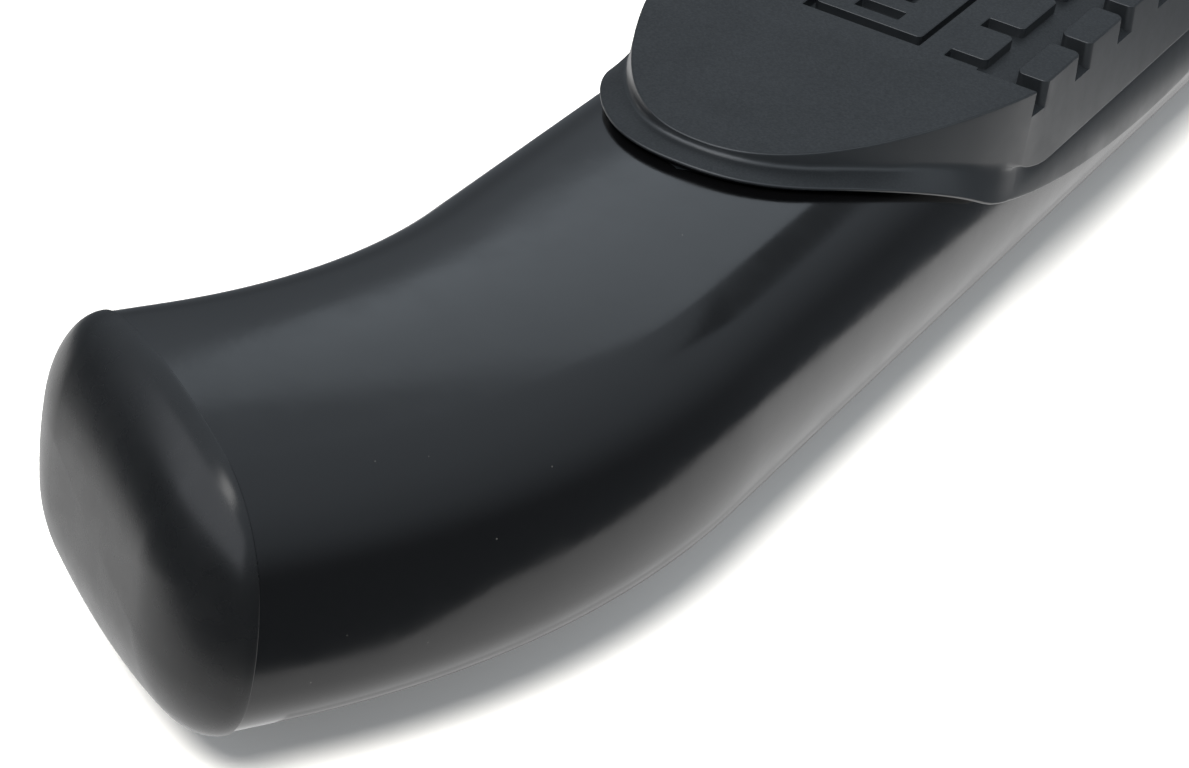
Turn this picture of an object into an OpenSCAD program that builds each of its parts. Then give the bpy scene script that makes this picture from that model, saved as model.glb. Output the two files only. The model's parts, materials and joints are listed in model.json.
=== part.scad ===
// Side-step running board: a bent oval tube with two moulded step pads,
// push-fit end caps and three bolt-on brackets with support braces.
// X runs along the bar, the outboard side faces -Y, the vehicle side +Y, Z is up.

/* [Tube] */
// Width of the oval tube
tube_w = 127; // [120:1:132]
// Height of the oval tube
tube_h = 92; // [88:1:96]
// Wall thickness of the tube
tube_wall = 2; // [1.6:0.1:2.5]
// Length of the straight middle of the tube
straight_l = 1700; // [1640:10:1900]
// Centreline radius of the end bends
bend_r = 245; // [230:5:300]
// Angle of the end bends, towards the vehicle
bend_angle = 32.3; // [20:0.1:36]
// Straight length beyond each bend
end_l = 16; // [12:1:30]

/* [End caps] */
// How far a cap's rounded face stands out past the tube
cap_depth = 21; // [16:1:26]
// Width of the cap's rounded edge
cap_round = 27; // [20:1:30]
// How far the cap's rim stands proud of the tube
cap_proud = 0.6; // [0.3:0.1:1]
// Length of the cap's skirt inside the tube
cap_skirt = 20; // [12:1:22]

/* [Step pads] */
// Width of the tread surface
pad_w = 134; // [132:1:136]
// Height of the tread surface above the tube's crown
pad_rise = 6; // [6:0.5:8]
// Number of outer tread blocks along one side
block_n = 7; // [7:1:9]
// Distance from one outer block to the next
block_pitch = 37; // [34:1:40]
// Width of the slots between the outer blocks
block_gap = 8.7; // [7:0.1:10]
// Length of the smooth half-moon at each end of a pad
moon_l = 107; // [95:1:110]
// Distance from a bend to the nose of the nearer pad's tread
pad_start = 61.5; // [55:0.5:80]

/* [Brackets] */
// Distance from the middle bracket to an outer one
bracket_pitch = 450; // [430:10:470]
// Width of a bracket
bracket_w = 84; // [82:1:92]
// Thickness of the bracket plate
plate_t = 5; // [4:0.5:6]
// Distance from the tube's centreline to the vehicle's body
reach = 150; // [140:1:170]
// Slope of the bracket's arm
arm_angle = 35; // [32:1:38]
// Height of the body flange's top above the tube's centre
flange_top = 100; // [95:1:120]
// Clear height under the saddle for the bolt heads
leg_h = 14; // [13:1:18]

/* [Hidden] */

// Oval section: two crown arcs, two side arcs and four corner arcs, all tangent.
corner_r = 34;
crown_r = 183;
side_r = 82;
// How far one wall runs over another where they are welded
weld = 0.02;

// Step pad
pad_gap = 0.25;
pad_skin = 3.2;
pad_side = 5;
pad_wall = 3.5;
pad_draft = 2.2;
ledge_z = 20.5;
skirt_low = -4;
skirt_from = 86.5;
skirt_rise = 22;
lip_ahead = 11.3;
lip_past = 3.5;
// Exponents of the plan curves of the tread's nose and of the lip
moon_a = 1.13;
moon_b = 2.2;
lip_a = 1.42;
lip_b = 2.27;
corner_round = 2.5;
tread_half = (block_n * block_pitch + block_gap) / 2;
top_half = tread_half + moon_l;
skirt_run = top_half - skirt_from;
pad_x = straight_l / 2 - pad_start - top_half;
pad_top = tube_h / 2 + pad_rise;
// The tread's rows, as distances from the middle of the pad
block_in = 56;
comb_out = 45.5;
comb_in = [33, 22];
end_gap = 6.5;
comb_gap = 7.8;
comb_first = 35.1;
island_half = 19.5;
island_y = -2.5;
island_n = 3;
island_gap = 5.5;
groove_depth = 3.2;
// Clip places on a pad
clip_x = [43, 145];
clip_y = 28;
clip_hole = 8.6;

lip_half = top_half + lip_ahead;
lip_nose_l = lip_ahead + moon_l - lip_past;
pad_rib = 2.5;
island_l = (2 * tread_half - 16 - (island_n - 1) * island_gap) / island_n;
clip_z = 44.7;
clip_collar_r = 5.7;
clip_stem_r = 2.5;

// End caps
cap_dome = 4;
cap_shell = 3;
cap_skirt_t = 2.5;
cap_rib_t = 2;

// M8 fasteners
thread_r = 4;
shank_r = 3.95;
hex_r = 7.5;
head_h = 5.3;
nut_h = 6.5;
washer_bore_r = 4.2;
flat_r = 12;
flat_t = 2;
lock_r = 7.1;
lock_t = 2;
small_r = 8;
small_t = 1.6;
insert_flange_t = 1;
insert_l = 16;
insert_r = 5.5;
insert_pitch = 50;

// Heights of the bracket, from the tube's centre
saddle_top = -tube_h / 2 - insert_flange_t;
saddle_low = saddle_top - plate_t;
ground = saddle_low - leg_h;
saddle_out = -36;
saddle_in = 62;
gusset_t = 4;
arm_path = [
    [saddle_out, saddle_low],
    [saddle_in, saddle_low],
    [reach, saddle_low + (reach - saddle_in) * tan(arm_angle)],
    [reach, flange_top]
];
slot_w = 10.5;
slot_l = 20;
slot_pitch = 50;
slot_z = flange_top - 30;
flange_round = 12;

// Support brace
brace_w = 30;
brace_t = 4;
brace_from = 24;
brace_to = 78;
brace_bolt_at = 50;
brace_reach = reach + 55;
brace_drop = 38;
brace_hole_r = 4.5;
arm_dir = [cos(arm_angle), sin(arm_angle)];
arm_foot = arm_path[1];
brace_knee = arm_foot + brace_to * arm_dir;

// The model's origin is the middle of its outline on the ground
bar_y = -(brace_reach - pad_w / 2 - pad_draft) / 2;
bar_z = -ground;

black_paint = [0.05, 0.05, 0.055];
dark_plastic = [0.16, 0.17, 0.18];
zinc = [0.72, 0.73, 0.74];

// ---- Geometry helpers ----

function unit(v) = v / norm(v);

// Unit vector to the left of the step from a to b
function left_of(a, b) = let (d = unit(b - a)) [-d[1], d[0]];

// Corner i of a path, moved sideways by t so that both its edges move by t
function mitre(path, i, t) =
    let (
        last = len(path) - 1,
        before = left_of(path[max(i - 1, 0)], path[max(i, 1)]),
        after = left_of(path[min(i, last - 1)], path[min(i + 1, last)])
    )
    path[i] + t * (before + after) / (1 + before * after);

// Outline of a strip of thickness t on the left of a path
function band(path, t) =
    concat(path, [for (i = [len(path) - 1:-1:0]) mitre(path, i, t)]);

// Centre of the corner arc, inside the crown arc and the side arc and tangent to both
function corner_centre(w, h, rc, rt, rs) =
    let (
        crown = [0, h / 2 - rt],
        side = [w / 2 - rs, 0],
        e = unit(side - crown),
        d = norm(side - crown),
        a = ((rt - rc) ^ 2 - (rs - rc) ^ 2 + d * d) / (2 * d),
        k = sqrt((rt - rc) ^ 2 - a * a)
    )
    crown + a * e + k * [e[1], -e[0]];

// Points of the oval's upper quarter, from the side to the crown
function quarter_points(w, h, rc, rt, rs, n) =
    let (
        c = corner_centre(w, h, rc, rt, rs),
        crown = [0, h / 2 - rt],
        side = [w / 2 - rs, 0],
        a1 = atan2(c[1], c[0] - side[0]),
        a2 = atan2(c[1] - crown[1], c[0])
    )
    concat(
        [for (i = [0:n - 1]) side + rs * [cos(a1 * i / n), sin(a1 * i / n)]],
        [for (i = [0:2 * n - 1]) let (a = a1 + (a2 - a1) * i / (2 * n)) c + rc * [cos(a), sin(a)]],
        [for (i = [0:n]) let (a = a2 + (90 - a2) * i / n) crown + rt * [cos(a), sin(a)]]
    );

// Points round the whole oval, grown by gy to the sides and by gz up and down
function oval_points(gy = 0, gz = 0, n = 5) =
    let (
        q = quarter_points(
            tube_w + 2 * gy, tube_h + 2 * gz,
            corner_r + (gy + gz) / 2, crown_r + gz, side_r + gy, n
        ),
        m = len(q) - 1
    )
    concat(
        q,
        [for (i = [m - 1:-1:0]) [-q[i][0], q[i][1]]],
        [for (i = [1:m]) [-q[i][0], -q[i][1]]],
        [for (i = [m - 1:-1:1]) [q[i][0], -q[i][1]]]
    );

// Turns a sketch drawn in (Y, Z) into a prism along X, l long, centred on X = 0
module along_x(l) {
    translate([-l / 2, 0, 0]) rotate([90, 0, 90]) linear_extrude(l) children();
}

// The tube's section, grown by g all round, as a prism along X
module oval_bar(l, g = 0) {
    along_x(l) polygon(oval_points(g, g));
}

// Places a child where the front bend ends, with local -Y pointing out along the tube
module at_bend_end() {
    translate([-straight_l / 2, bend_r, 0]) rotate([0, 0, -90 - bend_angle])
        translate([bend_r, 0, 0]) children();
}

// Places a child at the tube's cut end, with local -X pointing out of it
module at_tube_end() {
    at_bend_end() translate([0, -end_l, 0]) rotate([0, 0, 90]) children();
}

// Moves a part from the tube's centreline to its place above the ground
module in_place() {
    translate([0, bar_y, bar_z]) children();
}

module rear_side() {
    mirror([1, 0, 0]) children();
}

// A repeated part, once at each bracket
module at_brackets() {
    for (x = [-bracket_pitch, 0, bracket_pitch]) translate([x, 0, 0]) children();
}

// A ring-shaped washer lying on Z = 0
module washer(r, t) {
    difference() {
        cylinder(r = r, h = t, $fn = 64);
        translate([0, 0, -1]) cylinder(r = washer_bore_r, h = t + 2, $fn = 48);
    }
}

// A hexagon bolt whose head stands on Z = 0, with its shank pointing up
module hex_bolt(l) {
    translate([0, 0, -head_h]) cylinder(r = hex_r, h = head_h, $fn = 6);
    translate([0, 0, -0.01]) cylinder(r = shank_r, h = l, $fn = 48);
}

// ---- Tube ----

// The tube's wall in section, grown by g outwards and inwards
module tube_ring(g = 0) {
    difference() {
        polygon(oval_points(g, g));
        polygon(oval_points(-tube_wall - g, -tube_wall - g));
    }
}

// The whole tube: the straight, and a bend and a short straight end at each side.
// The straight runs a hair over each bend, so that their walls join cleanly.
module bent_tube() {
    along_x(straight_l + 2 * weld) tube_ring(weld);
    for (m = [0, 1]) mirror([m, 0, 0]) at_bend_end() {
        translate([-bend_r, 0, 0]) rotate_extrude(angle = bend_angle, $fn = 180)
            translate([bend_r, 0]) tube_ring();
        rotate([90, 0, 0]) linear_extrude(end_l) tube_ring();
    }
}

// Places of one pad's clips, from the middle of the pad
module at_clips() {
    for (x = [-clip_x[1], -clip_x[0], clip_x[0], clip_x[1]], y = [-clip_y, clip_y])
        translate([x, y, 0]) children();
}

// Places of one bracket's two saddle bolts
module at_saddle_bolts() {
    at_brackets() for (x = [-1, 1]) translate([x * insert_pitch / 2, 0, 0]) children();
}

module side_tube() {
    color(black_paint) in_place() difference() {
        bent_tube();
        for (p = [-pad_x, pad_x]) translate([p, 0, 0]) at_clips()
            cylinder(r = clip_hole / 2, h = tube_h, $fn = 48);
        at_saddle_bolts() translate([0, 0, -tube_h])
            cylinder(r = insert_r + 0.1, h = tube_h, $fn = 48);
    }
}

// ---- End caps ----

// The rounded end face: an oval that draws in by cap_round as it comes forward
module cap_pillow(inset = 0) {
    depth = cap_depth - cap_dome - inset;
    round = cap_round - inset;
    hull() {
        for (a = [0:15:90])
            translate([-depth * sin(a), 0, 0]) along_x(0.1) polygon(
                oval_points(cap_proud - inset - round * (1 - cos(a)), cap_proud - inset - round * (1 - cos(a)), 3)
            );
        translate([-depth - cap_dome, 0, 0]) along_x(0.1) polygon(0.3 * oval_points(-round, -round, 3));
    }
}

module end_cap() {
    outer = tube_wall + 0.3;
    inner = outer + cap_skirt_t;
    difference() {
        translate([-0.05, 0, 0]) cap_pillow();
        translate([0.05, 0, 0]) cap_pillow(cap_shell);
    }
    translate([cap_skirt / 2 - 0.5, 0, 0]) difference() {
        oval_bar(cap_skirt + 1, -outer);
        oval_bar(cap_skirt + 2, -inner);
    }
    for (y = [-22, 22]) translate([cap_skirt / 2 - 2, y, 0]) intersection() {
        cube([cap_skirt, cap_rib_t, tube_h - 2 * inner + 1], center = true);
        translate([0, -y, 0]) oval_bar(cap_skirt, -inner + 0.5);
    }
}

module front_end_cap() {
    color(black_paint) in_place() at_tube_end() end_cap();
}

module rear_end_cap() {
    color(black_paint) in_place() rear_side() at_tube_end() end_cap();
}

// ---- Step pads ----

// Half-width of a bow-shaped outline, t of the way from its nose to its full width
function bow(t, a, b) = (1 - (1 - t) ^ a) ^ (1 / b);

// Plan outline with a bow-shaped nose at each end
function bow_outline(half_l, half_w, nose_l, a, b) =
    let (
        ts = [for (i = [0:14]) (i / 14) ^ 2],
        q = [for (t = ts) [nose_l * t - half_l, half_w * bow(t, a, b)]],
        n = len(q) - 1
    )
    concat(
        q,
        [for (i = [n:-1:0]) [-q[i][0], q[i][1]]],
        [for (i = [1:n]) [-q[i][0], -q[i][1]]],
        [for (i = [n:-1:1]) [q[i][0], -q[i][1]]]
    );

// A rectangle with rounded corners, from its two opposite corners
module soft_rect(x1, y1, x2, y2, r = corner_round) {
    translate([x1 + r, y1]) square([x2 - x1 - 2 * r, y2 - y1]);
    translate([x1, y1 + r]) square([x2 - x1, y2 - y1 - 2 * r]);
    for (x = [x1 + r, x2 - r], y = [y1 + r, y2 - r]) translate([x, y]) circle(r, $fn = 32);
}

// The pad's upper part: a flat tread on walls that lean outwards as they go down
module pad_block() {
    h = pad_top - ledge_z;
    grow = 1 + 2 * pad_draft / pad_w;
    translate([0, 0, ledge_z]) linear_extrude(h, scale = [1 / (1 + pad_draft / top_half), 1 / grow])
        scale([1 + pad_draft / top_half, grow])
        polygon(bow_outline(top_half, pad_w / 2, moon_l, moon_a, moon_b));
}

// Side view of the lip: its lower edge drops from the nose towards the middle
module lip_side() {
    start = skirt_from - top_half;
    edge = [
        for (i = [0:12]) let (t = i / 12) [start + skirt_run * t, skirt_low + skirt_rise * (1 - t) ^ 2]
    ];
    ahead = [-top_half - 60, skirt_low + skirt_rise * 2];
    rotate([90, 0, 0]) linear_extrude(2 * tube_w, center = true) polygon(concat(
        [[-top_half - 60, tube_h], ahead],
        edge,
        [for (i = [11:-1:0]) [-edge[i][0], edge[i][1]]],
        [[-ahead[0], ahead[1]], [-ahead[0], tube_h]]
    ));
}

// The lip that lies along the tube all round the pad and wraps its sides
module pad_lip() {
    intersection() {
        along_x(2 * lip_half) polygon(oval_points(pad_side, pad_skin));
        translate([0, 0, -tube_h]) linear_extrude(2 * tube_h)
            polygon(bow_outline(lip_half, tube_w / 2 + pad_side + 0.1, lip_nose_l, lip_a, lip_b));
        lip_side();
    }
}

// Places of the outer slots, each from its near edge
function block_slots() = [for (k = [0:block_n]) -tread_half + k * block_pitch];

// Middles of the comb's slots
function comb_slots() = [for (s = [-1, 1], k = [0:2]) s * (tread_half - comb_first - k * block_pitch)];

// Plan of all that is cut from the tread's outer rows on side s
module outer_cut_plan(s) {
    reach_y = pad_w / 2 + 10;
    difference() {
        translate([-tread_half, s > 0 ? comb_out : -reach_y]) square([2 * tread_half, reach_y - comb_out]);
        for (x = block_slots()) if (x < tread_half - block_gap)
            soft_rect(
                x + block_gap, s > 0 ? block_in : -reach_y - corner_round,
                x + block_pitch, s > 0 ? reach_y + corner_round : -block_in
            );
    }
}

// One slot across each comb, w wide; the inboard one reaches further in
module comb_cut(x, w) {
    translate([x - w / 2, -comb_out - 1]) square([w, comb_out + 1 - comb_in[0]]);
    translate([x - w / 2, comb_in[1]]) square([w, comb_out + 1 - comb_in[1]]);
}

// Plan of the comb's slots and of the slots round the middle islands
module inner_cut_plan() {
    for (x = comb_slots()) comb_cut(x, comb_gap);
    for (x = [-1, 1]) comb_cut(x * (tread_half - 5.25), end_gap);
    difference() {
        translate([-tread_half + 2, island_y - island_half - 2])
            square([2 * tread_half - 4, 2 * island_half + 3.5]);
        for (k = [0:island_n - 1]) let (x = -tread_half + 8 + k * (island_l + island_gap))
            soft_rect(x, island_y - island_half, x + island_l, island_y + island_half);
    }
}

// Plan of the grooves in the islands: a bar near each end and a pair between them
module groove_plan() {
    for (k = [0:island_n - 1]) translate([-tread_half + 8 + k * (island_l + island_gap) + island_l / 2, island_y]) {
        for (x = [-1, 1]) translate([x * (island_l / 2 - 10), 0]) square([7, 16], center = true);
        for (y = [-5, 5]) translate([0, y]) square([island_l - 44, 3.5], center = true);
    }
}

// Everything cut down into the tread; the outer floor slopes down to the sides
module tread_cuts() {
    floor_z = pad_top - 3.7;
    for (s = [-1, 1]) intersection() {
        linear_extrude(2 * pad_top) outer_cut_plan(s);
        along_x(2 * top_half) polygon([
            [s * (comb_out - 1), floor_z], [s * 54, floor_z - 1.2], [s * 80, floor_z - 10],
            [s * 80, pad_top + 1], [s * (comb_out - 1), pad_top + 1]
        ]);
    }
    translate([0, 0, floor_z]) linear_extrude(10) inner_cut_plan();
    translate([0, 0, pad_top - groove_depth]) linear_extrude(10) groove_plan();
}

// Hollows under the shoulders of the pad, between cross ribs
module shoulder_hollows() {
    w = pad_w / 2 - pad_wall;
    intersection() {
        translate([0, 0, -10]) linear_extrude(2 * tube_h)
            polygon(bow_outline(top_half - pad_wall, w, moon_l - pad_wall, moon_a, moon_b));
        for (s = [-1, 1], k = [-5:5])
            translate([k * block_pitch, 0, 0]) along_x(block_pitch - pad_rib) polygon([
                [s * 36, 10], [s * 36, pad_top - 6.4], [s * 52, pad_top - 6.8], [s * w, 39], [s * w, 10]
            ]);
    }
}

module step_pad() {
    difference() {
        union() {
            pad_block();
            pad_lip();
        }
        oval_bar(4 * top_half, pad_gap);
        shoulder_hollows();
        tread_cuts();
        at_clips() {
            translate([0, 0, clip_z - 10]) cylinder(r = clip_collar_r + 0.3, h = 11.4, $fn = 48);
            cylinder(r = clip_stem_r + 0.05, h = clip_z + 5.2, $fn = 48);
        }
    }
}

module front_step_pad() {
    color(dark_plastic) in_place() translate([-pad_x, 0, 0]) step_pad();
}

module rear_step_pad() {
    color(dark_plastic) in_place() rear_side() translate([-pad_x, 0, 0]) step_pad();
}

// Push-in clip: a stem in the pad, a collar, and barbs below the tube's wall
module pad_clip() {
    shank = clip_hole / 2 - 0.3;
    translate([0, 0, clip_z]) {
        cylinder(r = clip_collar_r, h = 1.2, $fn = 48);
        cylinder(r = clip_stem_r, h = 5, $fn = 48);
        translate([0, 0, -16]) cylinder(r = shank - 1.2, h = 16, $fn = 48);
        translate([0, 0, -3.2]) cylinder(r = shank, h = 3.2, $fn = 48);
        for (z = [-7, -10.5, -14]) translate([0, 0, z])
            cylinder(r1 = shank - 1, r2 = shank + 0.7, h = 2, $fn = 48);
        translate([0, 0, -18]) cylinder(r1 = 1, r2 = shank - 1.2, h = 2, $fn = 48);
    }
}

module front_pad_clips() {
    color("white") in_place() translate([-pad_x, 0, 0]) at_clips() pad_clip();
}

module rear_pad_clips() {
    color("white") in_place() translate([pad_x, 0, 0]) at_clips() pad_clip();
}

// ---- Brackets ----

// Blind-rivet threaded insert in the tube's underside, with its squeezed collar
module tube_insert() {
    difference() {
        translate([0, 0, -tube_h / 2]) {
            translate([0, 0, -insert_flange_t]) cylinder(r = 7.5, h = insert_flange_t, $fn = 48);
            translate([0, 0, -0.01]) cylinder(r = insert_r, h = insert_l, $fn = 48);
            translate([0, 0, tube_wall + 0.4]) cylinder(r = 7, h = 3, $fn = 48);
        }
        translate([0, 0, -tube_h]) cylinder(r = thread_r, h = tube_h, $fn = 48);
    }
}

module tube_inserts() {
    color(zinc) in_place() at_saddle_bolts() tube_insert();
}

// A slot drawn with round ends, l long and w wide, along X
module slot_plan(l, w) {
    square([l - w, w], center = true);
    for (x = [-1, 1]) translate([x * (l - w) / 2, 0]) circle(w / 2, $fn = 48);
}

// Turns a child so that its Z is square to the sloping arm, s along it from the foot
module on_arm(s) {
    p = arm_foot + s * arm_dir;
    translate([0, p[0], p[1]]) rotate([arm_angle, 0, 0]) children();
}

// Outline of the side gussets, drawn in (Y, Z)
function gusset_outline() = [
    [saddle_out, saddle_low + 1], [saddle_out, ground + 4], [saddle_out + 4, ground],
    [saddle_in + 12, ground], arm_path[2] + [-1, 1], arm_foot + [0, 1]
];

module bracket() {
    difference() {
        union() {
            along_x(bracket_w) polygon(band([arm_path[0], arm_path[1], arm_path[2]], plate_t));
            translate([0, reach, 0]) rotate([90, 0, 0]) linear_extrude(plate_t) body_flange_plan();
            for (x = [-1, 1]) translate([x * (bracket_w - gusset_t) / 2, 0, 0])
                along_x(gusset_t) polygon(gusset_outline());
        }
        for (x = [-1, 1]) translate([x * insert_pitch / 2, 0, saddle_low - 1]) rotate([0, 0, 90])
            linear_extrude(plate_t + 2) slot_plan(16, 2 * brace_hole_r);
        on_arm(brace_bolt_at) translate([0, 0, -10]) cylinder(r = brace_hole_r, h = 30, $fn = 48);
    }
}

// The upright flange that bolts to the vehicle, with two slots for sideways adjustment
module body_flange_plan() {
    low = arm_path[2][1] - 2;
    half = bracket_w / 2;
    difference() {
        union() {
            translate([-half, low]) square([bracket_w, flange_top - low - flange_round]);
            translate([flange_round - half, low]) square([bracket_w - 2 * flange_round, flange_top - low]);
            for (x = [-1, 1]) translate([x * (half - flange_round), flange_top - flange_round])
                circle(flange_round, $fn = 64);
        }
        for (x = [-1, 1]) translate([x * slot_pitch / 2, slot_z]) slot_plan(slot_l, slot_w);
    }
}

module bracket_at(x) {
    color(black_paint) in_place() translate([x, 0, 0]) bracket();
}

module front_bracket() {
    bracket_at(-bracket_pitch);
}

module centre_bracket() {
    bracket_at(0);
}

module rear_bracket() {
    bracket_at(bracket_pitch);
}

// Bent strip from under the arm to the vehicle, with a hole at each end
module brace() {
    path = [
        arm_foot + brace_from * arm_dir, brace_knee,
        [brace_reach, brace_knee[1]], [brace_reach, brace_knee[1] - brace_drop]
    ];
    difference() {
        along_x(brace_w) polygon(band(path, -brace_t));
        on_arm(brace_bolt_at) translate([0, 0, -10]) cylinder(r = brace_hole_r, h = 20, $fn = 48);
        translate([0, brace_reach + 1, brace_knee[1] - brace_drop + 14]) rotate([90, 0, 0])
            cylinder(r = brace_hole_r, h = brace_t + 2, $fn = 48);
    }
}

module brace_at(x) {
    color(black_paint) in_place() translate([x, 0, 0]) brace();
}

module front_brace() {
    brace_at(-bracket_pitch);
}

module centre_brace() {
    brace_at(0);
}

module rear_brace() {
    brace_at(bracket_pitch);
}

// ---- Fasteners ----

module saddle_flat_washers() {
    color(zinc) in_place() at_saddle_bolts() translate([0, 0, saddle_low - flat_t]) washer(flat_r, flat_t);
}

// Spring washers, each split at one place
module saddle_lock_washers() {
    color(zinc) in_place() at_saddle_bolts() translate([0, 0, saddle_low - flat_t - lock_t]) difference() {
        washer(lock_r, lock_t);
        translate([0, -0.75, -1]) cube([10, 1.5, 5]);
    }
}

module saddle_bolts() {
    color(zinc) in_place() at_saddle_bolts() translate([0, 0, saddle_low - flat_t - lock_t]) hex_bolt(25);
}

// The brace bolt's head stands on the arm, and its nut is under the strip
module brace_bolts() {
    color(zinc) in_place() at_brackets() on_arm(brace_bolt_at)
        translate([0, 0, plate_t + small_t]) mirror([0, 0, 1]) hex_bolt(25);
}

module brace_head_washers() {
    color(zinc) in_place() at_brackets() on_arm(brace_bolt_at) translate([0, 0, plate_t])
        washer(small_r, small_t);
}

module brace_nut_washers() {
    color(zinc) in_place() at_brackets() on_arm(brace_bolt_at) translate([0, 0, -brace_t - small_t])
        washer(small_r, small_t);
}

module brace_nuts() {
    color(zinc) in_place() at_brackets() on_arm(brace_bolt_at)
        translate([0, 0, -brace_t - small_t - nut_h]) difference() {
            cylinder(r = hex_r, h = nut_h, $fn = 6);
            translate([0, 0, -1]) cylinder(r = thread_r, h = nut_h + 2, $fn = 48);
        }
}

side_tube();
front_end_cap();
rear_end_cap();
front_step_pad();
rear_step_pad();
front_pad_clips();
rear_pad_clips();
tube_inserts();
front_bracket();
centre_bracket();
rear_bracket();
front_brace();
centre_brace();
rear_brace();
saddle_bolts();
saddle_lock_washers();
saddle_flat_washers();
brace_bolts();
brace_head_washers();
brace_nut_washers();
brace_nuts();
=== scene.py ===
import json
import math

import bmesh
import bpy
import numpy as np
from mathutils import Matrix, Vector
from mathutils.geometry import tessellate_polygon


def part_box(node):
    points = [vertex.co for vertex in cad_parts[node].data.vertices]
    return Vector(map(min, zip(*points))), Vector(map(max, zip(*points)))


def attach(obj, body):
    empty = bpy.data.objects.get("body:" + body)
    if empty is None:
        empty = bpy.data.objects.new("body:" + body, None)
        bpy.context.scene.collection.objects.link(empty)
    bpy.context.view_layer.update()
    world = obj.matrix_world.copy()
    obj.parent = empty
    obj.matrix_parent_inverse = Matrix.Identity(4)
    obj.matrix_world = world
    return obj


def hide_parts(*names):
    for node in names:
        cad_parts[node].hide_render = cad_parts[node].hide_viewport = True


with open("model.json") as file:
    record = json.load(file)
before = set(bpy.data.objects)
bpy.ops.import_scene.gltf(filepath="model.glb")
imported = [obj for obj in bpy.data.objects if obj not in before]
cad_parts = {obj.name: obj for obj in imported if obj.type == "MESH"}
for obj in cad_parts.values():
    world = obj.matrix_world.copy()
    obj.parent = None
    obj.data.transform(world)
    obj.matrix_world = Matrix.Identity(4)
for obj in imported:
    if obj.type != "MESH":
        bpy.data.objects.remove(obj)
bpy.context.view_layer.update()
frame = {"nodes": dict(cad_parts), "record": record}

# The CAD box, before anything is added. Lengths below are in millimetres, and in the bar's own
# frame: X along the bar from its middle, Y from the tube's centreline, Z from the tube's centre.
MM = 0.001

# Tube, as in the CAD source
TUBE_W, TUBE_H, WALL = 127.0, 92.0, 2.0
CORNER_R, CROWN_R, SIDE_R = 34.0, 183.0, 82.0
STRAIGHT, BEND_R, BEND, END_L = 1700.0, 245.0, math.radians(32.3), 16.0
WELD = 0.02

# End caps: depth and rounding of the face, its crown, and how far the rim stands over the tube;
# then the skirt inside the tube, the wall, and the wall of the tube with its clearance
CAP_DEPTH, CAP_ROUND, CAP_DOME, CAP_PROUD = 16.4, 33.0, 4.0, 0.6
CAP_SKIRT, CAP_SHELL, CAP_FIT = 20.0, 3.0, 2.3
CAP_SKIRT_WALL = 2.5

# Step pads, in a frame with X from the pad's middle: the top, the ledge at the wall's foot, and
# the wall's draft
PAD_HALF_W, PAD_TOP, LEDGE, DRAFT = 67.0, 52.0, 20.5, 2.2
# The moon-shaped ends of the top, and the blocks between them
MOON_L, MOON_A, MOON_B = 107.0, 1.13, 2.2
PITCH, GAP, BLOCKS = 37.0, 8.7, 7
TREAD = (BLOCKS * PITCH + GAP) / 2
TOP_HALF = TREAD + MOON_L
PAD_START = 61.5
PAD_X = STRAIGHT / 2 - PAD_START - TOP_HALF
# The lip: its height over the tube at the side and at the crown, its outline, and its lower edge
SKIN_Y, SKIN_Z, FIT = 5.0, 3.2, 0.25
LIP_HALF, LIP_NOSE, LIP_A, LIP_B, LIP_W = TOP_HALF + 11.3, 114.8, 1.42, 2.27, 68.6
SKIRT_LOW, SKIRT_RISE, SKIRT_FROM = -4.0, 22.0, 86.5
# The lip's extra height near the tread's corners: a broad swell, which is level close to the
# corner, and a short rise ahead of it
SWELL, SWELL_FROM, SWELL_LEVEL, SWELL_END = 3.6, 64.0, 22.0, 18.0
RISE, RISE_AT, RISE_W = 3.2, 9.0, 7.0
# The fillet between wall and lip, up the wall and out on the lip
FILLET_UP, FILLET_OUT = 1.9, 2.2
# Stations along the pad's moon and along half of its tread
MOON_STATIONS, TREAD_STATIONS = 44, 30
# Rounding of the top's edge and of the lip's, and how far the lip is cut back underneath
TOP_EDGE, LIP_EDGE, UNDERCUT = 0.6, 0.7, 2.6
# The tread's pattern: depths, the rounding of the cut edges, then distances across from the middle
CUT_DEPTH, GROOVE_DEPTH, CUT_EDGE = 3.7, 3.2, 0.4
FLOOR_Z = PAD_TOP - CUT_DEPTH
COMB_OUTBOARD, COMB_INBOARD, COMB_OUT, BLOCK_IN, CLEAR_OF_PAD = 33.0, 22.0, 45.5, 56.0, 82.0
COMB_SLOTS, COMB_SLOT_W = (24.75, 61.75, 98.75), 7.8
END_MARGIN, END_SLOT = 2.0, 8.5
CHANNEL_Y, ISLAND_Y = (-24.0, 18.5), (-22.0, 17.0)
ISLAND_END, ISLAND_GAP = 8.0, 5.5
GROOVE_ACROSS_X, GROOVE_ACROSS_W, GROOVE_ACROSS_Y = 10.0, 7.0, (-10.5, 5.5)
GROOVE_ALONG_X, GROOVE_ALONG_W, GROOVE_ALONG_Y = 22.0, 3.5, (-7.5, 2.5)
# Radii of the pattern's corners in plan
TIGHT_R, GROOVE_R, SLOT_R, BLOCK_R, ISLAND_R = 0.6, 0.5, 2.3, 2.6, 2.4

# The pale table far below the bar, which only the gloss shows, in metres, and the bar's shade on
# it: how far it reaches inboard, and how far the light moves it, in millimetres
TABLE_DROP = 1.0
SHADE_INBOARD, SHADE_SHIFT = 62.0, (42.0, 10.0)

tube_low, tube_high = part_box("side_tube")
BAR_Y = tube_low.y / MM + TUBE_W / 2 + WELD
BAR_Z = (tube_low.z + tube_high.z) / 2 / MM


# ---- Sections ----

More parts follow.
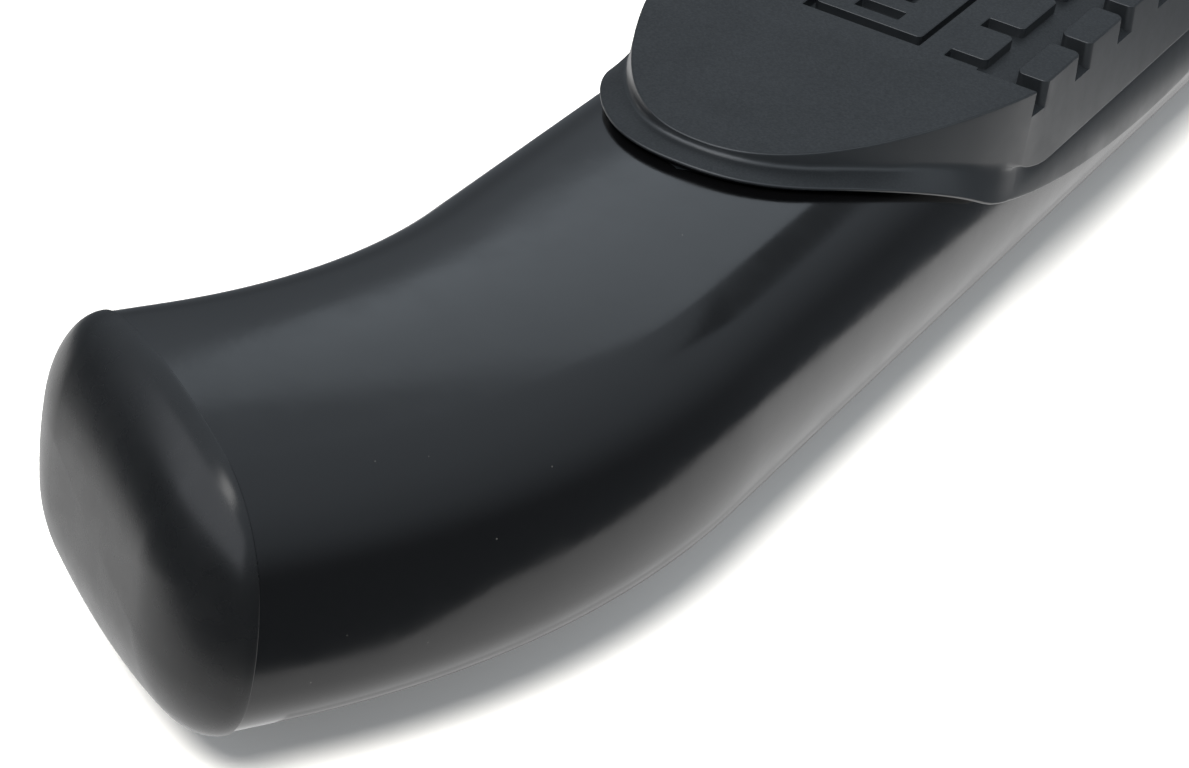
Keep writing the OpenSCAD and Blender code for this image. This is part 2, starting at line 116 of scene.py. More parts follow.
def arc_centres(gy, gz):
    """Centres and radii of the oval's side, corner and crown arcs, grown by gy and gz."""
    half_w, half_h = TUBE_W / 2 + gy, TUBE_H / 2 + gz
    rc, rt, rs = CORNER_R + (gy + gz) / 2, CROWN_R + gz, SIDE_R + gy
    crown, side = np.array([0.0, half_h - rt]), np.array([half_w - rs, 0.0])
    d = np.linalg.norm(side - crown)
    e = (side - crown) / d
    a = ((rt - rc) ** 2 - (rs - rc) ** 2 + d * d) / (2 * d)
    k = math.sqrt((rt - rc) ** 2 - a * a)
    corner = crown + a * e + k * np.array([e[1], -e[0]])
    a1 = math.atan2(corner[1], corner[0] - side[0])
    a2 = math.atan2(corner[1] - crown[1], corner[0])
    return (side, rs), (corner, rc), (crown, rt), a1, a2


def oval(angle, gy, gz):
    """Points (y, z) of the oval where its outward normal has these angles from +Y."""
    (side, rs), (corner, rc), (crown, rt), a1, a2 = arc_centres(gy, gz)
    c, s = np.cos(angle), np.sin(angle)
    t = np.arctan2(np.abs(s), np.abs(c))
    pick = [t < a1, t < a2]
    y = np.select(pick, [side[0] + rs * np.cos(t), corner[0] + rc * np.cos(t)], rt * np.cos(t))
    z = np.select(pick, [rs * np.sin(t), corner[1] + rc * np.sin(t)], crown[1] + rt * np.sin(t))
    return np.sign(c) * y, np.sign(s) * z


def ring_angles():
    """Normal angles round the whole oval, closer together where it curves most."""
    _, _, _, a1, a2 = arc_centres(0, 0)
    top = math.pi / 2
    quarter = np.concatenate([
        np.linspace(0, a1, 7)[:-1], np.linspace(a1, a2, 27)[:-1], np.linspace(a2, top, 10)
    ])
    half = np.concatenate([quarter, math.pi - quarter[-2::-1]])
    return np.concatenate([half, half[1:-1] + math.pi])


def angle_at_width(width, gy, gz):
    """Normal angles on the oval's upper half where y has these values."""
    grid = np.linspace(math.pi / 2, -0.5, 1200)
    y, _ = oval(grid, gy, gz)
    upper = grid >= 0
    return np.interp(width, y[upper], grid[upper])


def angle_at_height(height, gy, gz):
    """Normal angles, from the crown to a little below the side, where z has these values."""
    grid = np.linspace(math.pi / 2, -0.5, 1200)
    _, z = oval(grid, gy, gz)
    return np.interp(-height, -z, grid)


# ---- Meshes ----

def new_mesh(name, points, faces):
    """A mesh from points in millimetres."""
    mesh = bpy.data.meshes.new(name)
    mesh.from_pydata((np.asarray(points, float) * MM).tolist(), [], faces)
    return mesh


def clean(mesh, dissolve=False):
    """Welds doubled points, takes out faces without area if asked, and turns all faces outward."""
    bm = bmesh.new()
    bm.from_mesh(mesh)
    bmesh.ops.remove_doubles(bm, verts=bm.verts, dist=2e-7)
    if dissolve:
        bmesh.ops.dissolve_degenerate(bm, edges=bm.edges, dist=1e-7)
    bmesh.ops.recalc_face_normals(bm, faces=bm.faces)
    bm.to_mesh(mesh)
    bm.free()


def add_object(name, data):
    """A new object in the scene, with this mesh, light or camera."""
    made = bpy.data.objects.new(name, data)
    bpy.context.scene.collection.objects.link(made)
    return made


def make(name, points, faces, material, node, sharp=35.0):
    """A piece from points in the bar's frame, standing for a CAD node."""
    mesh = new_mesh(name, np.asarray(points, float) + [0, BAR_Y, BAR_Z], faces)
    return place(name, mesh, material, node, sharp)


def place(name, mesh, material, node, sharp):
    """A piece from a mesh in metres, with edges over the angle sharp left sharp."""
    clean(mesh, dissolve=True)
    mesh.shade_smooth()
    mesh.set_sharp_from_angle(angle=math.radians(sharp))
    mesh.materials.append(material)
    piece = add_object(name, mesh)
    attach(piece, "root")
    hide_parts(node)
    return piece


def grid_faces(rows, columns, close_columns=False, close_rows=False):
    """Quads between neighbouring points of a grid stored row by row."""
    faces = []
    for r in range(rows if close_rows else rows - 1):
        for c in range(columns if close_columns else columns - 1):
            r2, c2 = (r + 1) % rows, (c + 1) % columns
            faces.append((r * columns + c, r * columns + c2, r2 * columns + c2, r2 * columns + c))
    return faces


# ---- The bar's path ----

def path_point(s):
    """Centre, sideways direction and outward direction of the front half, s from the bend's start."""
    if s <= 0:
        return np.array([-STRAIGHT / 2 - s, 0.0, 0]), np.array([0, 1.0, 0]), np.array([-1.0, 0, 0])
    a = min(s / BEND_R, BEND)
    past = max(s - BEND_R * BEND, 0)
    out = np.array([-math.cos(a), math.sin(a), 0])
    side = np.array([math.sin(a), math.cos(a), 0])
    centre = np.array([-STRAIGHT / 2 - BEND_R * math.sin(a), BEND_R * (1 - math.cos(a)), 0])
    return centre + past * out, side, out


def tube_stations():
    """Stations from the front end over the bend to the bar's middle."""
    bend = BEND_R * BEND
    front = [bend + END_L, bend + END_L / 2] + list(np.linspace(bend, 0, 34))
    return front + list(np.linspace(0, -STRAIGHT / 2, 25)[1:])


def make_tube(material):
    """The tube with its outer and inner skin, open at both ends."""
    angles = ring_angles()
    rows = []
    for grow in (0.0, -WALL):
        y, z = oval(angles, grow, grow)
        front = []
        for s in tube_stations():
            centre, side, _ = path_point(s)
            front.append(centre + y[:, None] * side + z[:, None] * np.array([0, 0, 1.0]))
        back = [ring * [-1, 1, 1] for ring in front[-2::-1]]
        rings = front + back
        rows += rings if grow == 0 else rings[::-1]
    faces = grid_faces(len(rows), len(angles), close_columns=True, close_rows=True)
    return make("tube_skin", np.concatenate(rows), faces, material, "side_tube")


# ---- End caps ----

def pillow(depth, round_r, dome, rim):
    """The cap's rounded face as (growth, scale, depth) of the oval, from its rim to its middle."""
    half = TUBE_H / 2 + rim
    most = round_r - 0.2
    steps = [(most * (1 - math.cos(a)), 1.0) for a in np.linspace(0, math.pi / 2, 26)]
    steps += [(most, t) for t in (0.85, 0.68, 0.5, 0.33, 0.17, 0.06, 0.0)]
    rows = []
    for inset, scale in steps:
        real = inset + (half - inset) * (1 - scale)
        bulge = math.sqrt(max(0.0, 1 - (1 - min(real / round_r, 1)) ** 2))
        rows.append((rim - inset, scale, depth * bulge + dome * (1 - (1 - real / half) ** 2)))
    return rows


def cap_rows():
    """The whole cap as rings of the oval: rim, face, hollow inside and skirt."""
    inner = CAP_FIT + CAP_SKIRT_WALL
    face = [(g, k, d + 0.5) for g, k, d in pillow(CAP_DEPTH - 0.5, CAP_ROUND, CAP_DOME, CAP_PROUD)]
    hollow = pillow(CAP_DEPTH - CAP_SHELL, CAP_ROUND - CAP_SHELL, CAP_DOME, -inner)
    rows = [(-CAP_FIT, 1, -CAP_SKIRT), (-CAP_FIT, 1, -0.2), (-CAP_FIT, 1, 0.05), (0.1, 1, 0.05)]
    rows += [(0.42, 1, 0.12), (CAP_PROUD, 1, 0.35)] + face
    rows += [(g, k, d - 0.5) for g, k, d in hollow[::-1]]
    return rows + [(-inner, 1, -1.0), (-inner, 1, -CAP_SKIRT)]


def make_cap(name, node, mirror, material):
    """An end cap as a closed cup, on the front end or mirrored to the rear."""
    centre, side, out = path_point(BEND_R * BEND + END_L)
    angles = ring_angles()
    rings = []
    for grow, scale, depth in cap_rows():
        y, z = oval(angles, grow, grow)
        ring = centre + scale * (y[:, None] * side + z[:, None] * np.array([0, 0, 1.0]))
        rings.append(ring + depth * out)
    points = np.concatenate(rings) * [mirror, 1, 1]
    faces = grid_faces(len(rings), len(angles), close_columns=True, close_rows=True)
    return make(name, points, faces, material, node, sharp=50)


# ---- Step pads ----

def bow(t, a, b):
    """A blunt curve from 0 at t = 0 to 1 at t = 1."""
    return (1 - (1 - t) ** a) ** (1 / b)


def pad_stations():
    """Stations along one long side of a pad, from its front nose to its middle:
    the tread's outline and the lip's, both as distances from the pad's middle."""
    s = np.linspace(0, 1, MOON_STATIONS)
    t = s * s
    top_x = list(MOON_L * t - TOP_HALF)
    top_y = list(PAD_HALF_W * bow(t, MOON_A, MOON_B))
    lip_x = list(LIP_NOSE * t - LIP_HALF)
    lip_y = list(LIP_W * bow(t, LIP_A, LIP_B))
    lag = TREAD - (LIP_HALF - LIP_NOSE)
    for x in [-TREAD + 0.4] + list(np.linspace(-TREAD, 0, TREAD_STATIONS)[1:]):
        top_x.append(x)
        top_y.append(PAD_HALF_W)
        lip_x.append(x - lag * x / TREAD)
        lip_y.append(LIP_W + 5)
    return tuple(np.array(v) for v in (top_x, top_y, lip_x, lip_y))


def outline_normals(x, y):
    """Outward normals of the tread's outline in plan."""
    dx, dy = np.gradient(x), np.gradient(y)
    n = np.stack([-dy, dx], 1)
    n[0] = [-1, 0]
    n[MOON_STATIONS:] = [0, 1]
    return n / np.linalg.norm(n, axis=1)[:, None]


def lip_low_edge(x):
    """Height of the lip's lower edge, x from the pad's middle."""
    start = SKIRT_FROM - TOP_HALF
    t = np.clip((x - start) / -start, 0, 1)
    ahead = SKIRT_LOW + SKIRT_RISE * (1 + np.clip((start - x) / (TOP_HALF + 60 + start), 0, 1))
    return np.where(x < start, ahead, SKIRT_LOW + SKIRT_RISE * (1 - t) ** 2)


def soft_max(a, b, width):
    """The larger of the two, with a rounded change from one to the other."""
    return (a + b + np.sqrt((a - b) ** 2 + width ** 2)) / 2


def lip_edge_angle(lip_x, lip_y):
    """Normal angle on the lip's skin at its edge."""
    plan = angle_at_width(lip_y, SKIN_Y, SKIN_Z)
    widest = TUBE_W / 2 + SKIN_Y
    plan = np.where(lip_y > widest - 0.4, plan - (lip_y - widest + 0.4) * 0.4, plan)
    side = angle_at_height(lip_low_edge(lip_x), SKIN_Y, SKIN_Z)
    edge = soft_max(plan, side, 0.05)
    edge[0] = math.pi / 2
    return np.minimum(edge, math.pi / 2)


def skin(x, angle, gy, gz):
    """Points on the oval grown by gy and gz, at these x and normal angles."""
    y, z = oval(angle, gy, gz)
    return np.stack(np.broadcast_arrays(x, y, z), -1)


def skin_normal(angle):
    """Outward directions across the bar at these normal angles."""
    return np.stack([np.zeros_like(angle), np.cos(angle), np.sin(angle)], -1)


def lip_lift(x):
    """Extra height of the lip at the wall's foot. It swells slowly up to each corner of the tread,
    with a short rise just ahead of it, and is gone soon behind it."""
    past = x + TREAD
    ahead = np.clip((SWELL_FROM + past) / (SWELL_FROM - SWELL_LEVEL), 0, 1)
    behind = np.clip(1 - past / SWELL_END, 0, 1) ** 1.6
    rise = RISE * np.exp(-((past + RISE_AT) / RISE_W) ** 2)
    return SWELL * np.where(past < 0, ahead, behind) + rise


def wall_foot(top_x, top_y):
    """Where each wall line meets the lip's skin, or the ledge if it doesn't. Near the corners of
    the tread the wall stands straighter."""
    grid = np.linspace(math.pi / 2, 0, 800)
    gy, gz = oval(grid, SKIN_Y, SKIN_Z)
    away = np.abs(top_x + TREAD) / np.where(top_x < -TREAD, 60.0, 22.0)
    lean = DRAFT * (1 - 0.95 * np.clip(1 - away, 0, 1) ** 1.5)
    low_x, low_y = top_x * (1 + lean / TOP_HALF), top_y * (1 + lean / PAD_HALF_W)
    shelf_angle = float(np.interp(-LEDGE, -gz, grid))
    foot, on_skin = [], []
    for x1, y1, x2, y2, lift in zip(top_x, top_y, low_x, low_y, lip_lift(top_x)):
        w = np.linspace(0, (PAD_TOP - LEDGE - lift) / (PAD_TOP - LEDGE), 400)
        y, z = y1 + (y2 - y1) * w, PAD_TOP + (LEDGE - PAD_TOP) * w
        below = z < np.interp(y, gy, gz, right=-99) + lift
        k = int(np.argmax(below)) if below.any() else len(w) - 1
        foot.append((x1 + (x2 - x1) * w[k], y[k], z[k]))
        on_skin.append(float(np.interp(y[k], gy, grid)) if below.any() else shelf_angle)
    return np.array(foot), np.array(on_skin)


def bezier(p0, p1, p2, n):
    """n rows of points that turn from p0 to p2 with p1 as the corner."""
    t = np.linspace(0, 1, n)[:, None, None]
    return (1 - t) ** 2 * p0 + 2 * t * (1 - t) * p1 + t * t * p2


def toward(a, b, distance):
    """A point from a towards b, no further than b."""
    d = b - a
    length = np.maximum(np.linalg.norm(d, axis=-1, keepdims=True), 1e-9)
    return a + d * np.minimum(distance / length, 1)


def pad_columns():
    """One side's profile columns, each an array of points over the stations, from the flat top
    over the wall and the lip to the underside's middle."""
    top_x, top_y, lip_x, lip_y = pad_stations()
    n = outline_normals(top_x, top_y)
    columns = []
    for a in np.linspace(90, 0, 6):
        cut = TOP_EDGE * (1 - math.cos(math.radians(a)))
        drop = TOP_EDGE * (1 - math.sin(math.radians(a)))
        flat = np.stack([top_x, top_y], 1) - n * cut
        flat[0, 1] = 0
        columns.append(np.column_stack([flat, np.full(len(top_x), PAD_TOP - drop)]))
    foot, foot_angle = wall_foot(top_x, top_y)
    wall_top = columns[-1]
    skin_foot = skin(foot[:, 0], foot_angle, SKIN_Y, SKIN_Z)
    lift = lip_lift(top_x)
    skin_foot[:, 2] += lift
    skin_foot[:, 1] = np.where(top_y < 1e-6, 0, skin_foot[:, 1])
    high = toward(foot, wall_top, FILLET_UP)
    for w in np.linspace(0, 1, 8)[1:-1]:
        columns.append(wall_top + (high - wall_top) * w)
    edge_angle = lip_edge_angle(lip_x, lip_y)
    lip_run = []
    for w in np.linspace(0, 1, 14):
        x = skin_foot[:, 0] + (lip_x - skin_foot[:, 0]) * w
        row = skin(x, foot_angle + (edge_angle - foot_angle) * w, SKIN_Y, SKIN_Z)
        lip_run.append(row + np.outer(lift * (1 - w) ** 2, [0, 0, 1]))
    out = toward(skin_foot, lip_run[2], FILLET_OUT)
    ledge = np.linalg.norm(foot - skin_foot, axis=1)
    fillet = bezier(high, foot, out, 9)
    middle = (foot + skin_foot) / 2
    near = bezier(toward(foot, wall_top, 0.5), foot, toward(foot, middle, 0.5), 5)
    far = bezier(toward(skin_foot, middle, 0.4), skin_foot, toward(skin_foot, lip_run[2], 0.4), 4)
    corners = np.concatenate([near, far])
    mix = np.clip(ledge / 1.5, 0, 1)[None, :, None]
    columns += list(fillet * (1 - mix) + corners * mix)
    columns += lip_run[2:-1]
    columns += lip_edge(lip_x, edge_angle, lip_run[-2])
    start = columns[-1]
    for w in np.linspace(0, 1, 12)[1:]:
        angle = edge_angle + (math.pi / 2 - edge_angle) * w
        under = skin(lip_x, angle, FIT, FIT)
        columns.append(under + (start - skin(lip_x, edge_angle, FIT, FIT)) * (1 - w))
    columns = np.array(columns)
    columns[:, 0, 1] = 0
    return columns


def lip_edge(lip_x, angle, inside):
    """The lip's rounded edge and its thickness, down to the tube."""
    edge = skin(lip_x, angle, SKIN_Y, SKIN_Z)
    low = skin(lip_x, angle, FIT, FIT)
    normal = skin_normal(angle)
    back = inside - edge
    back -= (back * normal).sum(1, keepdims=True) * normal
    back /= np.maximum(np.linalg.norm(back, axis=1, keepdims=True), 1e-9)
    centre = edge + LIP_EDGE * (back - normal)
    arc = [centre + LIP_EDGE * (-back * math.sin(a) + normal * math.cos(a))
           for a in np.linspace(0, math.pi / 2 + 0.9, 8)]
    low = low + back * UNDERCUT
    return arc + [(arc[-1] + low) / 2, low]


def pad_body():
    """The uncut pad as a closed mesh, in the pad's own frame."""
    quarter = pad_columns()
    half = np.concatenate([quarter, quarter[:, -2::-1] * [-1, 1, 1]], 1)
    columns, stations = half.shape[:2]
    points, faces = [], []
    for side in (-1, 1):
        base = sum(len(p) for p in points)
        points.append((half * [1, side, 1]).reshape(-1, 3))
        faces += [tuple(base + i for i in f) for f in grid_faces(columns, stations)]
    base = columns * stations
    faces.append(tuple(list(range(stations)) + [base + i for i in range(stations - 2, 0, -1)]))
    return np.concatenate(points), faces


def rounded(corners):
    """A closed outline from (x, y, radius) corners, with that radius at each corner."""
    out, n = [], len(corners)
    for i in range(n):
        p = np.array(corners[i][:2], float)
        r = corners[i][2]
        if r <= 0:
            out.append(p)
            continue
        before, after = np.array(corners[i - 1][:2]) - p, np.array(corners[(i + 1) % n][:2]) - p
        u1, u2 = before / np.linalg.norm(before), after / np.linalg.norm(after)
        half = math.acos(np.clip(u1 @ u2, -1, 1)) / 2
        centre = p + (u1 + u2) / np.linalg.norm(u1 + u2) * r / math.sin(half)
        a, b = p + u1 * r / math.tan(half) - centre, p + u2 * r / math.tan(half) - centre
        for w in np.linspace(0, 1, 6):
            v = a * (1 - w) + b * w
            out.append(centre + v / np.linalg.norm(v) * r)
    return np.array(out)


def box_outline(x1, y1, x2, y2, r):
    """Corners of a rectangle, each with the radius r."""
    return [(x1, y1, r), (x2, y1, r), (x2, y2, r), (x1, y2, r)]


def turned(loop, positive):
    """The loop, running anticlockwise if positive."""
    area = (loop[:, 0] * np.roll(loop[:, 1], -1) - np.roll(loop[:, 0], -1) * loop[:, 1]).sum()
    return loop if (area > 0) == positive else loop[::-1]


def grown(loop, distance):
    """The loop moved out of its region by a distance."""
    step = np.roll(loop, -1, 0) - loop
    step /= np.linalg.norm(step, axis=1, keepdims=True)
    after = np.stack([step[:, 1], -step[:, 0]], 1)
    before = np.roll(after, 1, 0)
    return loop + distance * (before + after) / (1 + (before * after).sum(1, keepdims=True))


def cutter(loops, bottom):
    """A closed prism over the loops, the first outside and the rest holes, from the height bottom
    up through the tread. It flares at the tread, which rounds the edges that it leaves."""
    loops = [turned(np.array(v), i == 0) for i, v in enumerate(loops)]
    levels = [(bottom, 0.0), (PAD_TOP - CUT_EDGE, 0.0)]
    for a in (30, 60, 85):
        levels.append((PAD_TOP - CUT_EDGE * (1 - math.sin(math.radians(a))),
                       CUT_EDGE * (1 - math.cos(math.radians(a)))))
    levels.append((PAD_TOP + 3, CUT_EDGE * 1.02))
    points, faces, size = [], [], sum(len(v) for v in loops)
    for z, g in levels:
        for loop in loops:
            points.append(np.column_stack([grown(loop, g), np.full(len(loop), z)]))
    start = 0
    for loop in loops:
        n = len(loop)
        for k in range(len(levels) - 1):
            for i in range(n):
                a, b = k * size + start + i, k * size + start + (i + 1) % n
                faces.append((a, b, b + size, a + size))
        start += n
    caps = tessellate_polygon([[Vector((*p, 0)) for p in loop] for loop in loops])
    faces += [tuple(f) for f in caps]
    faces += [tuple(i + (len(levels) - 1) * size for i in f) for f in caps]
    return np.concatenate(points), faces


def outer_outline(side):
    """Outline of the cut through one side's comb slots, channel and outer slots."""
    comb_in = COMB_OUTBOARD if side < 0 else COMB_INBOARD
    comb, block, out = COMB_OUT, BLOCK_IN, CLEAR_OF_PAD
    middles = [-c for c in COMB_SLOTS[::-1]] + list(COMB_SLOTS)
    slots = [(-TREAD + END_MARGIN, -TREAD + END_SLOT)]
    slots += [(c - COMB_SLOT_W / 2, c + COMB_SLOT_W / 2) for c in middles]
    slots += [(TREAD - END_SLOT, TREAD - END_MARGIN)]
    corners = [(-TREAD, out, 0), (-TREAD, comb, TIGHT_R)]
    for i, (a, b) in enumerate(slots):
        left = TIGHT_R if i == 0 else SLOT_R
        right = TIGHT_R if i == len(slots) - 1 else SLOT_R
        corners += [(a, comb, left), (a, comb_in, TIGHT_R), (b, comb_in, TIGHT_R), (b, comb, right)]
    corners += [(TREAD, comb, TIGHT_R), (TREAD, out, 0)]
    for k in range(BLOCKS, 0, -1):
        x = -TREAD + k * PITCH
        start = x - PITCH + GAP
        corners += [(x, out, 0)] + corner_arc(x, -1) + [(x, block, BLOCK_R)]
        corners += [(start, block, BLOCK_R)] + corner_arc(start, 1)[::-1] + [(start, out, 0)]
    return rounded([(x, side * y, r) for x, y, r in corners])


def corner_arc(x, inward):
    """Points of a cut that rounds a block's outboard corner at x."""
    r, edge = BLOCK_R, PAD_HALF_W
    points = [(x, edge + 4, 0), (x + inward * r, edge + 4, 0)]
    for a in np.linspace(90, 0, 6):
        c, s = math.cos(math.radians(a)), math.sin(math.radians(a))
        points.append((x + inward * r * (1 - c), edge - r * (1 - s), 0))
    return points


def islands():
    """Ends of the three islands along the tread's middle."""
    length = (2 * (TREAD - ISLAND_END) - 2 * ISLAND_GAP) / 3
    for k in range(3):
        x = -TREAD + ISLAND_END + k * (length + ISLAND_GAP)
        yield x, x + length


def groove_outlines():
    """Outlines of the grooves in each island: one across near each end, two along between them."""
    low, high = GROOVE_ACROSS_Y
    for x1, x2 in islands():
        for x in (x1 + GROOVE_ACROSS_X, x2 - GROOVE_ACROSS_X):
            left, right = x - GROOVE_ACROSS_W / 2, x + GROOVE_ACROSS_W / 2
            yield rounded(box_outline(left, low, right, high, GROOVE_R))
        left, right = x1 + GROOVE_ALONG_X, x2 - GROOVE_ALONG_X
        for y in GROOVE_ALONG_Y:
            near, far = y - GROOVE_ALONG_W / 2, y + GROOVE_ALONG_W / 2
            yield rounded(box_outline(left, near, right, far, GROOVE_R))


def scratch(name, points, faces):
    """An object that only helps to build another."""
    mesh = new_mesh(name, points, faces)
    clean(mesh)
    return add_object(name, mesh)


def combine(target, tool, operation):
    """Applies a boolean with the tool to the target, and removes the tool."""
    m = target.modifiers.new("combine", "BOOLEAN")
    m.operation, m.solver, m.object = operation, "EXACT", tool
    graph = bpy.context.evaluated_depsgraph_get()
    mesh = bpy.data.meshes.new_from_object(target.evaluated_get(graph))
    target.modifiers.clear()
    target.data = mesh
    bpy.data.objects.remove(tool)


def above_floor(side):
    """The space above the tread's floor on one side; it slopes down to the pad's edge."""
    line = [(44.5, FLOOR_Z), (54, FLOOR_Z - 1.2), (84, FLOOR_Z - 11.4)]
    line += [(84, 70), (10, 70), (10, FLOOR_Z)]
    points = [(x, side * y, z) for x in (-TOP_HALF, TOP_HALF) for y, z in line]
    n = len(line)
    faces = [tuple(range(n)), tuple(range(n, 2 * n))]
    faces += [(i, (i + 1) % n, n + (i + 1) % n, n + i) for i in range(n)]
    return scratch("above_floor", points, faces)


def cut_pad_mesh():
    """The finished pad's mesh, in metres in its own frame."""
    body = scratch("pad_body", *pad_body())
    for side in (-1, 1):
        points, faces = cutter([outer_outline(side)], 30.0)
        lean = DRAFT * (PAD_TOP - points[:, 2]) / (PAD_TOP - LEDGE)
        points[:, 1] += np.where(np.abs(points[:, 1]) > 60, side * lean, 0)
        tool = scratch("cut", points, faces)
        combine(tool, above_floor(side), "INTERSECT")
        combine(body, tool, "DIFFERENCE")
    end = TREAD - END_MARGIN
    channel = [rounded(box_outline(-end, CHANNEL_Y[0], end, CHANNEL_Y[1], TIGHT_R))]
    for x1, x2 in islands():
        channel.append(rounded(box_outline(x1, ISLAND_Y[0], x2, ISLAND_Y[1], ISLAND_R)))
    combine(body, scratch("cut", *cutter(channel, FLOOR_Z)), "DIFFERENCE")
    for loop in groove_outlines():
        combine(body, scratch("cut", *cutter([loop], PAD_TOP - GROOVE_DEPTH)), "DIFFERENCE")
    mesh = body.data
    bpy.data.objects.remove(body)
    return mesh


def make_pads(material):
    """Both pads, from one mesh."""
    mesh = cut_pad_mesh()
    for name, node, x in (("front_pad", "front_step_pad", -PAD_X), ("rear_pad", "rear_step_pad", PAD_X)):
        own = mesh.copy()
        own.transform(Matrix.Translation(Vector((x, BAR_Y, BAR_Z)) * MM))
        pad = place(name, own, material, node, sharp=32)
        pad.modifiers.new("face_area_normals", "WEIGHTED_NORMAL").keep_sharp = True


# ---- Materials ----

class Nodes:
    """A small helper to build a Principled material from nodes."""

    def __init__(self, name, **values):
        self.material = bpy.data.materials.new(name)
        self.material.use_nodes = True
        self.tree = self.material.node_tree
        self.shader = self.tree.nodes["Principled BSDF"]
        for socket, value in values.items():
            self.shader.inputs[socket.replace("_", " ")].default_value = value
        self.place = self.tree.nodes.new("ShaderNodeTexCoord").outputs["Object"]

    def node(self, kind, **inputs):
        n = self.tree.nodes.new(kind)
        for socket, value in inputs.items():
            self.put(value, n.inputs[socket.replace("_", " ")])
        return n

    def put(self, value, socket):
        if isinstance(value, bpy.types.NodeSocket):
            self.tree.links.new(value, socket)
        else:
            socket.default_value = value

    def noise(self, size_mm, detail=2.0, roughness=0.5):
        n = self.node("ShaderNodeTexNoise", Vector=self.place, Scale=1 / (size_mm * MM), Detail=detail,
                      Roughness=roughness)
        return n.outputs["Fac"]

    def spots(self, size_mm, low, high):
        """Small dots, 1 inside and 0 outside."""
        n = self.node("ShaderNodeTexVoronoi", Vector=self.place, Scale=1 / (size_mm * MM))
        return self.mapped(n.outputs["Distance"], low, high, 1.0, 0.0)

    def mapped(self, value, a, b, c, d):
        """The value, with a to b mapped to c to d."""
        n = self.node("ShaderNodeMapRange")
        self.put(value, n.inputs["Value"])
        for socket, x in zip(("From Min", "From Max", "To Min", "To Max"), (a, b, c, d)):
            n.inputs[socket].default_value = x
        return n.outputs["Result"]

    def times(self, a, b):
        n = self.tree.nodes.new("ShaderNodeMath")
        n.operation = "MULTIPLY"
        self.put(a, n.inputs[0])
        self.put(b, n.inputs[1])
        return n.outputs[0]

    def colours(self, factor, first, second):
        n = self.tree.nodes.new("ShaderNodeMix")
        n.data_type = "RGBA"
        self.put(factor, n.inputs["Factor"])
        n.inputs[6].default_value = (*first, 1)
        n.inputs[7].default_value = (*second, 1)
        return n.outputs[2]

    def bump(self, height, distance_mm, strength=1.0):
        n = self.node("ShaderNodeBump", Height=height, Distance=distance_mm * MM, Strength=strength)
        return n.outputs["Normal"]

    def end(self, **links):
        for socket, value in links.items():
            self.put(value, self.shader.inputs[socket.replace("_", " ")])
        return self.material


def gloss_black():
    """Powder coat on the tube: faint orange peel and a few specks of dust."""
    m = Nodes("gloss_black_coating", IOR=1.5)
    dust = m.times(m.spots(9, 0.02, 0.035), m.mapped(m.noise(30), 0.5, 0.62, 0, 1))
    colour = m.colours(dust, (0.0012, 0.0012, 0.0013), (0.05, 0.05, 0.045))
    rough = m.mapped(m.noise(14, 3), 0.3, 0.7, 0.13, 0.19)
    peel = m.bump(m.noise(3.2, 1), 0.012)
    return m.end(Base_Color=colour, Roughness=rough, Normal=peel)


def satin_cap():
    """Smooth black plastic of the end caps."""
    m = Nodes("satin_black_cap", IOR=1.5)
    cloud = m.mapped(m.noise(25, 3), 0.35, 0.65, 0, 1)
    colour = m.colours(cloud, (0.0016, 0.0017, 0.0018), (0.0026, 0.0027, 0.0029))
    rough = m.mapped(m.noise(10, 3), 0.3, 0.7, 0.25, 0.31)
    grain = m.bump(m.noise(1.3, 1), 0.006)
    return m.end(Base_Color=colour, Roughness=rough, Normal=grain)


def grained_plastic():
    """Dark plastic of the pads, grained where it faces up and smoother on its walls."""
    m = Nodes("grained_dark_plastic", IOR=1.55)
    cloud = m.mapped(m.noise(22, 4), 0.3, 0.7, 0, 1)
    colour = m.colours(cloud, (0.0040, 0.0048, 0.0055), (0.0062, 0.0072, 0.0081))
    up = m.tree.nodes.new("ShaderNodeSeparateXYZ")
    m.put(m.tree.nodes.new("ShaderNodeNewGeometry").outputs["Normal"], up.inputs[0])
    flat = m.mapped(up.outputs["Z"], 0.50, 0.92, 0, 1)
    rough = m.tree.nodes.new("ShaderNodeMix")
    m.put(flat, rough.inputs["Factor"])
    m.put(m.mapped(m.noise(16, 3, 0.6), 0.3, 0.7, 0.28, 0.38), rough.inputs[2])
    m.put(m.mapped(m.noise(0.8, 2), 0.3, 0.7, 0.46, 0.62), rough.inputs[3])
    grain = m.bump(m.times(m.noise(0.55, 3, 0.6), flat), 0.05, 0.8)
    shine = m.mapped(flat, 0, 1, 1.0, 0.30)
    return m.end(Base_Color=colour, Roughness=rough.outputs[0], Normal=grain, Specular_IOR_Level=shine)


def satin_black_paint():
    """Powder coat on the brackets and braces."""
    m = Nodes("satin_black_paint", IOR=1.5)
    cloud = m.mapped(m.noise(8, 3), 0.35, 0.65, 0, 1)
    colour = m.colours(cloud, (0.010, 0.010, 0.011), (0.016, 0.016, 0.017))
    rough = m.mapped(m.noise(4, 3), 0.3, 0.7, 0.32, 0.44)
    grain = m.bump(m.noise(1.1, 2), 0.03, 0.7)
    return m.end(Base_Color=colour, Roughness=rough, Normal=grain)


def bright_zinc():
    """Zinc plating on the fasteners and inserts."""
    m = Nodes("bright_zinc", Metallic=1.0)
    cloud = m.mapped(m.noise(3, 3), 0.3, 0.7, 0, 1)
    colour = m.colours(cloud, (0.55, 0.57, 0.60), (0.68, 0.69, 0.68))
    rough = m.mapped(m.noise(1.5, 4), 0.3, 0.7, 0.22, 0.38)
    grain = m.bump(m.noise(0.4, 2), 0.01, 0.6)
    return m.end(Base_Color=colour, Roughness=rough, Normal=grain)


